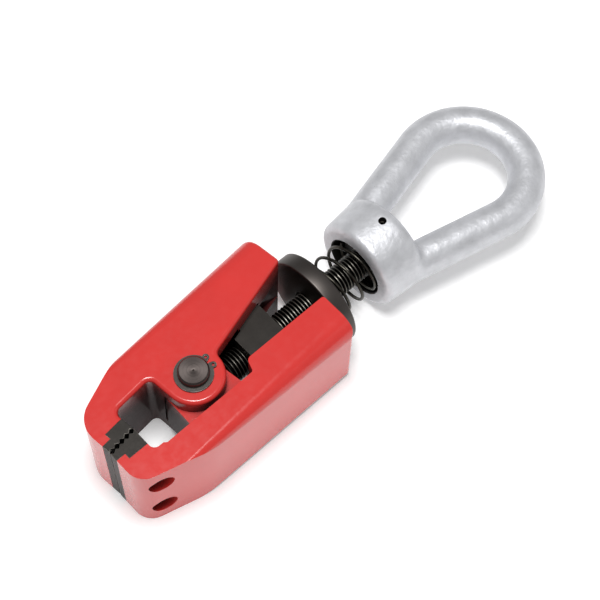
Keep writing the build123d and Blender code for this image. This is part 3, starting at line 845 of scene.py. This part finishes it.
def split_washer_mesh(jaw, x, bed, top, z):
    """One split lock washer between two heights along Y; its ends stand a little apart."""
    steps, mouth, rise = 48, math.radians(5), 0.12 * MM
    outer, inner = jaw.head_diameter / 2 - 0.05 * MM, jaw.screw_diameter / 2 + 0.1 * MM
    shape = bmesh.new()
    rings = []
    for step in range(steps + 1):
        share = step / steps
        angle = mouth + (2 * math.pi - 2 * mouth) * share
        lean = (share - 0.5) * rise * (1 if top > bed else -1)
        corners = ((outer, bed), (outer, top - 2 * lean), (inner, top - 2 * lean), (inner, bed))
        rings.append(
            [
                shape.verts.new((x + reach * math.cos(angle), along, z + reach * math.sin(angle)))
                for reach, along in corners
            ]
        )
    for back, ahead in zip(rings, rings[1:]):
        for corner in range(4):
            after = (corner + 1) % 4
            shape.faces.new((back[corner], back[after], ahead[after], ahead[corner]))
    shape.faces.new(rings[0])
    shape.faces.new(rings[-1])
    bmesh.ops.recalc_face_normals(shape, faces=shape.faces)
    mesh = bpy.data.meshes.new("lock_washer")
    shape.to_mesh(mesh)
    shape.free()
    return mesh


class CLAMP_OT_insert_hardware(bpy.types.Operator):
    """Socket-head screws and split lock washers that hold the inserts, in upright rows"""

    bl_idname = "clamp.insert_hardware"
    bl_label = "Insert screws"

    def execute(self, context):
        jaw = context.scene.clamp_jaw
        black = fastener_black(jaw.fastener)
        tree = row_tree()
        for side, outward, angle in (("right", -1, 0.0), ("left", 1, jaw.shut_angle)):
            back = Matrix.Rotation(-angle, 3, "Z")
            low, high = turned_box(f"{side}_insert_screws", back)
            x, z = (low.x + high.x) / 2, low.z + jaw.head_diameter / 2
            tip, rim = (low.y, high.y) if outward > 0 else (high.y, low.y)
            washer_low, washer_high = turned_box(f"{side}_lock_washers", back)
            bed, top = washer_low.y, washer_high.y
            if outward < 0:
                bed, top = top, bed
            spacing = high.z - low.z - jaw.head_diameter
            values = {"Count": jaw.screws, "Spacing": spacing / (jaw.screws - 1), "Material": black}
            for kind, mesh in (
                ("insert_screws", screw_mesh(jaw, x, tip, rim, z)),
                ("lock_washers", split_washer_mesh(jaw, x, bed, top, z)),
            ):
                piece = grown_piece(f"{side}_{kind}_piece", mesh, tree, values)
                piece.data.transform(Matrix.Rotation(angle, 4, "Z"))
                piece.data.shade_smooth()
                piece.data.set_sharp_from_angle(angle=math.radians(25))
                body, node = f"{side}_jaw_assembly", f"{side}_{kind}"
                finish_piece(piece, None, body, "black_fastener", node)
        return {"FINISHED"}


class CLAMP_OT_pivot(bpy.types.Operator):
    """The turned pivot pin and its retaining ring"""

    bl_idname = "clamp.pivot"
    bl_label = "Pivot pin and ring"

    def execute(self, context):
        pivot = context.scene.clamp_pivot
        low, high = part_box("pivot_pin")
        ring_low, ring_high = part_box("pivot_retaining_ring")
        radius, head = pivot.pin_diameter / 2, pivot.head_diameter / 2
        bottom, top = low[2], high[2]
        neck = radius - pivot.groove_depth
        play = 0.05 * MM
        profile = [
            (bottom, 0),
            (bottom, head - 0.5 * MM),
            (bottom + 0.5 * MM, head),
            (bottom + pivot.head_height - 0.2 * MM, head),
            (bottom + pivot.head_height, head - 0.2 * MM),
            (bottom + pivot.head_height, radius),
            (ring_low[2] - play, radius),
            (ring_low[2] - play, neck),
            (ring_high[2] + play, neck),
            (ring_high[2] + play, radius - 0.1 * MM),
            (ring_high[2] + 3 * play, radius),
            (top - pivot.chamfer - 0.1 * MM, radius),
            (top - pivot.chamfer + 0.05 * MM, radius - 0.05 * MM),
            (top - 0.08 * MM, radius - pivot.chamfer),
            (top, radius - pivot.chamfer - 0.12 * MM),
            (top, radius / 2),
            (top, 1.5 * pivot.centre_mark),
            (top - 0.03 * MM, pivot.centre_mark),
            (top - 0.35 * MM, 0.2 * pivot.centre_mark),
            (top - 0.38 * MM, 0),
        ]
        shape = bmesh.new()
        turned(shape, profile, 96, (0, 0, 0), "Z")
        pin = shape_to_object("pivot_pin_piece", shape, smooth_angle=30)
        steel = turned_steel(
            "Lathe-turned steel, oiled dark",
            pivot.steel,
            "Z",
            (0.0, 0.0, 0.0),
            pivot.facing_pitch,
            PIN_ROUGHNESS,
        )
        finish_piece(pin, steel, "right_jaw_assembly", "turned_pin_steel", "pivot_pin")
        ring = softened_copy("pivot_retaining_ring", pivot.ring_round, 2)
        name = "Blackened stamped spring steel"
        ring_steel = black_oxide(name, pivot.ring_steel, pivot.ring_edge)
        finish_piece(ring, ring_steel, "right_jaw_assembly", "spring_steel", "pivot_retaining_ring")
        return {"FINISHED"}


class CLAMP_OT_wedge(bpy.types.Operator):
    """The wedge nut in blacked steel"""

    bl_idname = "clamp.wedge"
    bl_label = "Wedge nut"

    def execute(self, context):
        jaw = context.scene.clamp_jaw
        piece = softened_copy("wedge_nut", 2 * jaw.steel_round, 2)
        oxide = bpy.data.materials["Black oxide on machined steel"]
        finish_piece(piece, oxide, "wedge", "black_oxide_steel", "wedge_nut")
        return {"FINISHED"}


class CLAMP_OT_spindle(bpy.types.Operator):
    """The spindle with its full-length metric thread"""

    bl_idname = "clamp.spindle"
    bl_label = "Threaded spindle"

    def execute(self, context):
        drive = context.scene.clamp_drive
        start, end = SPINDLE_LOW[0], SPINDLE_HIGH[0]
        rows_per_pitch = 12
        rows = round((end - start + 2 * drive.pitch) / drive.pitch * rows_per_pitch) + 1
        steel = thread_steel(drive.root, drive.crest)
        values = {
            "Start": start,
            "End": end,
            "Radius": (SPINDLE_HIGH[1] - SPINDLE_LOW[1]) / 2,
            "Pitch": drive.pitch,
            "Depth": drive.thread_depth,
            "Chamfer": drive.end_chamfer,
            "Height": AXIS_HEIGHT,
            "Rows": rows,
            "Segments": 49,
            "Material": steel,
        }
        seed = bpy.data.meshes.new("spindle_seed")
        piece = grown_piece("spindle_piece", seed, thread_tree(), values)
        tidy_grown(piece, 30)
        finish_piece(piece, steel, "eye_assembly", "spindle_steel", "spindle")
        return {"FINISHED"}


def tidy_grown(piece, smooth_angle):
    """Drops faces of no area from a grown mesh and turns its faces outwards."""
    shape = bmesh.new()
    shape.from_mesh(piece.data)
    bmesh.ops.remove_doubles(shape, verts=shape.verts, dist=SAME_POINT)
    bmesh.ops.dissolve_degenerate(shape, dist=1e-6, edges=shape.edges)
    bmesh.ops.recalc_face_normals(shape, faces=shape.faces)
    shape.to_mesh(piece.data)
    shape.free()
    piece.data.shade_smooth()
    piece.data.set_sharp_from_angle(angle=math.radians(smooth_angle))


class CLAMP_OT_spring(bpy.types.Operator):
    """The spring plate, the return spring and the washer it turns on"""

    bl_idname = "clamp.spring"
    bl_label = "Plate and spring"

    def execute(self, context):
        drive = context.scene.clamp_drive
        (front, plate_low, _), (rear, plate_high, _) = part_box("spring_plate")
        radius = (plate_high - plate_low) / 2
        bend = drive.plate_round
        corner = [math.radians(step) for step in (0, 22.5, 45, 67.5, 90)]
        rim = [
            (bend * (1 - math.sin(turn)), radius - bend * (1 - math.cos(turn))) for turn in corner
        ]
        bore, chamfer = drive.plate_bore, 0.4 * MM
        profile = [(front, bore + chamfer)]
        profile += [(front + inward, reach) for inward, reach in reversed(rim)]
        profile += [(rear - inward, reach) for inward, reach in rim]
        profile += [(rear, bore + chamfer), (rear - chamfer, bore), (front + chamfer, bore)]
        shape = bmesh.new()
        turned(shape, profile, 128, (0, 0, AXIS_HEIGHT), "X")
        plate = shape_to_object("spring_plate_piece", shape, smooth_angle=30)
        steel = turned_steel(
            "Lathe-turned steel, blackened",
            drive.plate_steel,
            "X",
            (0.0, 0.0, AXIS_HEIGHT),
            drive.facing_pitch,
            PLATE_ROUGHNESS,
        )
        finish_piece(plate, steel, "plate", "turned_plate_steel", "spring_plate")

        spring_low, spring_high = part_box("return_spring")
        wire = spring_wire(drive.wire_steel)
        half = drive.wire / 2
        values = {
            "Start": spring_low[0] + half,
            "End": spring_high[0] - half,
            "Radius": drive.coil_radius,
            "Wire": half,
            "Turns": drive.coils,
            "Phase": drive.first_angle,
            "Height": AXIS_HEIGHT,
            "Points": round(drive.coils * 64),
            "Sides": 16,
            "Material": wire,
        }
        seed = bpy.data.meshes.new("spring_seed")
        spring = grown_piece("return_spring_piece", seed, coil_tree(), values)
        tidy_grown(spring, 50)
        finish_piece(spring, wire, "plate", "spring_steel", "return_spring")
        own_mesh(spring)

        (near, washer_low, _), (far, washer_high, _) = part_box("spring_seat_washer")
        rim, edge = (washer_high - washer_low) / 2, 0.2 * MM
        profile = [
            (near, drive.washer_bore),
            (near, rim - edge),
            (near + edge, rim),
            (far - edge, rim),
            (far, rim - edge),
            (far, drive.washer_bore),
        ]
        shape = bmesh.new()
        turned(shape, profile, 96, (0, 0, AXIS_HEIGHT), "X")
        washer = shape_to_object("spring_seat_washer_piece", shape, smooth_angle=30)
        black = bpy.data.materials["Black phosphate on alloy steel"]
        finish_piece(washer, black, "eye_assembly", "black_fastener", "spring_seat_washer")
        return {"FINISHED"}


# ---------------------------------------------------------------- pull eye


def eye_path(eye, front, high_x):
    """Points down one arm, round the arc and back, and the arms' direction."""
    centre = high_x - eye.arc - eye.bar / 2
    root = Vector((front - eye.root_back, eye.root_side))
    away = centre - root.x
    distance = math.hypot(away, root.y)
    arm = math.sqrt(distance**2 - eye.arc**2)
    angle = math.asin(eye.arc / distance) - math.atan2(root.y, away)
    heading = Vector((math.cos(angle), math.sin(angle)))
    start_x = front + eye.boss_length - 1.3 * eye.crown - eye.bar / 2
    start = root + heading * ((start_x - root.x) / heading.x)
    touch = root + heading * arm
    arm_steps, arc_steps = 24, 64
    points = [start.lerp(touch, step / arm_steps) for step in range(arm_steps)]
    sweep = math.atan2(touch.y, touch.x - centre)
    for step in range(arc_steps + 1):
        turn = sweep - 2 * sweep * step / arc_steps
        points.append(Vector((centre + eye.arc * math.cos(turn), eye.arc * math.sin(turn))))
    back = [Vector((point.x, -point.y)) for point in points[:arm_steps]]
    return points + back[::-1]


def bar_along(shape, points, radius, height, sides):
    """A round bar along flat points at that height, with closed ends."""
    rings = []
    for index, point in enumerate(points):
        before, after = points[max(index - 1, 0)], points[min(index + 1, len(points) - 1)]
        heading = (after - before).normalized()
        across = Vector((-heading.y, heading.x, 0))
        ring = []
        for side in range(sides):
            angle = 2 * math.pi * side / sides
            offset = across * (radius * math.cos(angle)) + Vector((0, 0, radius * math.sin(angle)))
            ring.append(shape.verts.new(Vector((point.x, point.y, height)) + offset))
        rings.append(ring)
    for lower, upper in zip(rings, rings[1:]):
        for side in range(sides):
            after = (side + 1) % sides
            shape.faces.new((lower[side], lower[after], upper[after], upper[side]))
    shape.faces.new(rings[0])
    shape.faces.new(rings[-1])


def boss_profile(eye, front):
    """The boss's outline from its front to its crowned back."""
    rear = front + eye.boss_length
    quarter = [math.radians(10 * step) for step in range(10)]
    profile = [(front, 0)]
    for angle in quarter:
        inward, outward = 1 - math.cos(angle), 1 - math.sin(angle)
        place = front + eye.front_round * inward
        profile.append((place, eye.boss_front - eye.front_round * outward))
    for angle in quarter:
        inward, outward = 1 - math.cos(angle), 1 - math.sin(angle)
        profile.append((rear - eye.crown * outward, eye.boss_rear - eye.crown * inward))
    return profile + [(rear, 0)]


class CLAMP_OT_pull_eye(bpy.types.Operator):
    """The galvanised pull eye: one smooth forging, bored for the spring and the spindle"""

    bl_idname = "clamp.pull_eye"
    bl_label = "Pull eye"

    def execute(self, context):
        eye = context.scene.clamp_eye
        low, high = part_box("pull_eye")
        front = low[0]
        rear = front + eye.boss_length
        shape = bmesh.new()
        turned(shape, boss_profile(eye, front), 96, (0, 0, AXIS_HEIGHT), "X")
        bar_along(shape, eye_path(eye, front, high[0]), eye.bar / 2, AXIS_HEIGHT, 48)
        bmesh.ops.recalc_face_normals(shape, faces=shape.faces)
        piece = shape_to_object("pull_eye_piece", shape)
        skin = piece.modifiers.new("Forge", "REMESH")
        skin.mode = "VOXEL"
        skin.voxel_size = eye.grain
        bake_modifiers(piece)

        # The die's fillets, where the arms leave the boss
        group = piece.vertex_groups.new(name="fillet")
        reach, middle = 11 * MM, rear - 1 * MM
        for vertex in piece.data.vertices:
            away = abs(vertex.co.x - middle) / reach
            weight = max(0.0, 1 - away**2)
            if weight > 0:
                group.add([vertex.index], weight, "REPLACE")
        fillet = piece.modifiers.new("Fillets", "SMOOTH")
        fillet.vertex_group = group.name
        fillet.factor = 0.5
        fillet.iterations = 40
        ease = piece.modifiers.new("Ease", "SMOOTH")
        ease.factor = 0.5
        ease.iterations = 6
        bake_modifiers(piece)
        self.roughen(piece, eye)

        # Painted shade: the bores' walls take a near-black finish that stands in for the shade
        # inside them
        black = black_oxide("Machined bore in painted shade", eye.bore_shade, eye.bore_edge)
        zinc = galvanised(eye.zinc)
        piece.data.materials.clear()
        piece.data.materials.append(zinc)
        piece.data.materials.append(black)
        tool = self.cutter(eye, front, black)
        cut = piece.modifiers.new("Bores", "BOOLEAN")
        cut.operation = "DIFFERENCE"
        cut.object = tool
        cut.solver = "EXACT"
        cut.material_mode = "TRANSFER"
        bake_modifiers(piece)
        bpy.data.objects.remove(tool)
        piece.data.shade_smooth()
        piece.data.set_sharp_from_angle(angle=math.radians(38))
        finish_piece(piece, None, "eye_assembly", "galvanised_forging", "pull_eye")

        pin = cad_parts["eye_lock_pin"]
        pin.data.materials.clear()
        pin.data.materials.append(bpy.data.materials["Oil-tempered spring wire"])
        return {"FINISHED"}

    def roughen(self, piece, eye):
        """Sinks the skin here and there, as scale and zinc runs leave it."""
        mesh = piece.data
        broad_scale, fine_scale, broad_share = 110, 330, 0.6  # lumps in a metre
        normals = [vertex.normal.copy() for vertex in mesh.vertices]
        for vertex, normal in zip(mesh.vertices, normals):
            broad = noise.noise(vertex.co * broad_scale) * broad_share
            fine = noise.noise(vertex.co * fine_scale) * (1 - broad_share)
            vertex.co -= normal * eye.unevenness * (1 + broad + fine) / 2

    def cutter(self, eye, front, material):
        """The bores' shape: the spring's bore, the spindle's hole and the lock pin's hole."""
        shape = bmesh.new()
        bore_end = front + eye.bore_depth
        spindle = (SPINDLE_HIGH[1] - SPINDLE_LOW[1]) / 2 + 0.02 * MM
        chamfer = 0.5 * MM
        profile = [
            (front - 3 * MM, 0),
            (front - 3 * MM, eye.bore + chamfer),
            (front + eye.unevenness, eye.bore + chamfer),
            (front + eye.unevenness + chamfer, eye.bore),
            (bore_end, eye.bore),
            (bore_end, spindle),
            (SPINDLE_HIGH[0] + 0.5 * MM, spindle),
            (SPINDLE_HIGH[0] + 0.5 * MM, 0),
        ]
        turned(shape, profile, 96, (0, 0, AXIS_HEIGHT), "X")
        pin_low, pin_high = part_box("eye_lock_pin")
        pin_x = (pin_low[0] + pin_high[0]) / 2
        top = AXIS_HEIGHT + eye.boss_rear
        hole = [
            (pin_low[2], 0),
            (pin_low[2], eye.pin_hole),
            (top - 0.9 * MM, eye.pin_hole),
            (top + 0.1 * MM, eye.pin_hole + 0.45 * MM),
            (top + 2 * MM, eye.pin_hole + 0.45 * MM),
            (top + 2 * MM, 0),
        ]
        second = bmesh.new()
        turned(second, hole, 48, (pin_x, 0, 0), "Z")
        mesh = bpy.data.meshes.new("hole")
        second.to_mesh(mesh)
        second.free()
        shape.from_mesh(mesh)
        bpy.data.meshes.remove(mesh)
        tool = shape_to_object("bore_tool", shape)
        tool.data.materials.append(material)
        return tool


# ---------------------------------------------------------------- studio


class CLAMP_OT_stage(bpy.types.Operator):
    """A pale paper floor, soft lights and the camera"""

    bl_idname = "clamp.stage"
    bl_label = "Studio"

    def execute(self, context):
        stage = context.scene.clamp_stage
        half = stage.floor_size / 2
        shape = bmesh.new()
        corners = ((-half, -half), (half, -half), (half, half), (-half, half))
        shape.faces.new([shape.verts.new((x, y, 0)) for x, y in corners])
        floor = shape_to_object("floor", shape)
        floor.data.materials.append(white_table(stage.paper, stage.table_glow))

        middle = Vector((0.077, 0.005, AXIS_HEIGHT))
        self.softbox("overhead", middle + Vector((-0.09, -0.02, 1.2)), middle, 0.4, stage.key_power)
        self.softbox("side", middle + Vector((0.75, -0.65, 0.55)), middle, 0.8, stage.fill_power)

        world = bpy.data.worlds.new("Even studio light")
        world.use_nodes = True
        background = world.node_tree.nodes["Background"]
        background.inputs["Color"].default_value = WHITE
        background.inputs["Strength"].default_value = stage.sky
        context.scene.world = world
        context.scene.view_settings.view_transform = "Standard"
        self.camera(context, stage)
        return {"FINISHED"}

    def softbox(self, name, place, aim, size, power):
        """A square area light at a place, turned to its aim."""
        light = bpy.data.lights.new(name, "AREA")
        light.shape = "SQUARE"
        light.size = size
        light.energy = power
        box = bpy.data.objects.new(name, light)
        turn = (place - aim).to_track_quat("Z", "Y").to_matrix().to_4x4()
        box.matrix_world = Matrix.Translation(place) @ turn
        bpy.context.scene.collection.objects.link(box)

    def camera(self, context, stage):
        """A long lens looking down on the clamp from its nose's side."""
        azimuth, rise, roll = math.radians(-45.08), math.radians(62.52), math.radians(2.33)
        target, distance = Vector((0.0770, 0.0051, AXIS_HEIGHT)), 0.7913
        flat = math.cos(rise)
        back = Vector((math.sin(azimuth) * flat, -math.cos(azimuth) * flat, math.sin(rise)))
        right = Vector((math.cos(azimuth), math.sin(azimuth), 0))
        up = back.cross(right)
        right_rolled = right * math.cos(roll) + up * math.sin(roll)
        up_rolled = up * math.cos(roll) - right * math.sin(roll)
        turn = Matrix((right_rolled, up_rolled, back)).transposed()
        data = bpy.data.cameras.new("camera")
        data.lens = stage.lens
        data.sensor_width = 36.0
        data.clip_start = 0.01
        data.clip_end = 20.0
        camera = bpy.data.objects.new("camera", data)
        camera.matrix_world = Matrix.Translation(target + back * distance) @ turn.to_4x4()
        context.scene.collection.objects.link(camera)
        context.scene.camera = camera


class VIEW3D_PT_clamp(bpy.types.Panel):
    """The clamp's pieces and their sizes"""

    bl_label = "Pulling Clamp"
    bl_idname = "VIEW3D_PT_clamp"
    bl_space_type = "VIEW_3D"
    bl_region_type = "UI"
    bl_category = "Clamp"

    def draw(self, context):
        for operator in OPERATORS:
            self.layout.operator(operator.bl_idname)
        for group, settings in SETTINGS.items():
            box = self.layout.box()
            box.label(text=settings.__doc__)
            for name in settings.__annotations__:
                box.prop(getattr(context.scene, group), name)


SETTINGS = {
    "clamp_jaw": ClampJawSettings,
    "clamp_pivot": ClampPivotSettings,
    "clamp_drive": ClampDriveSettings,
    "clamp_eye": ClampEyeSettings,
    "clamp_stage": ClampStageSettings,
}
OPERATORS = (
    CLAMP_OT_jaws,
    CLAMP_OT_inserts,
    CLAMP_OT_insert_hardware,
    CLAMP_OT_pivot,
    CLAMP_OT_wedge,
    CLAMP_OT_spindle,
    CLAMP_OT_spring,
    CLAMP_OT_pull_eye,
    CLAMP_OT_stage,
)


def register():
    for group, settings in SETTINGS.items():
        bpy.utils.register_class(settings)
        setattr(bpy.types.Scene, group, PointerProperty(type=settings))
    for part in (*OPERATORS, VIEW3D_PT_clamp):
        bpy.utils.register_class(part)


def unregister():
    for part in (VIEW3D_PT_clamp, *reversed(OPERATORS)):
        bpy.utils.unregister_class(part)
    for group, settings in reversed(SETTINGS.items()):
        delattr(bpy.types.Scene, group)
        bpy.utils.unregister_class(settings)


def main():
    """Builds every piece and the studio."""
    register()
    for operator in OPERATORS:
        space, name = operator.bl_idname.split(".")
        getattr(getattr(bpy.ops, space), name)()


if __name__ == "__main__":
    main()
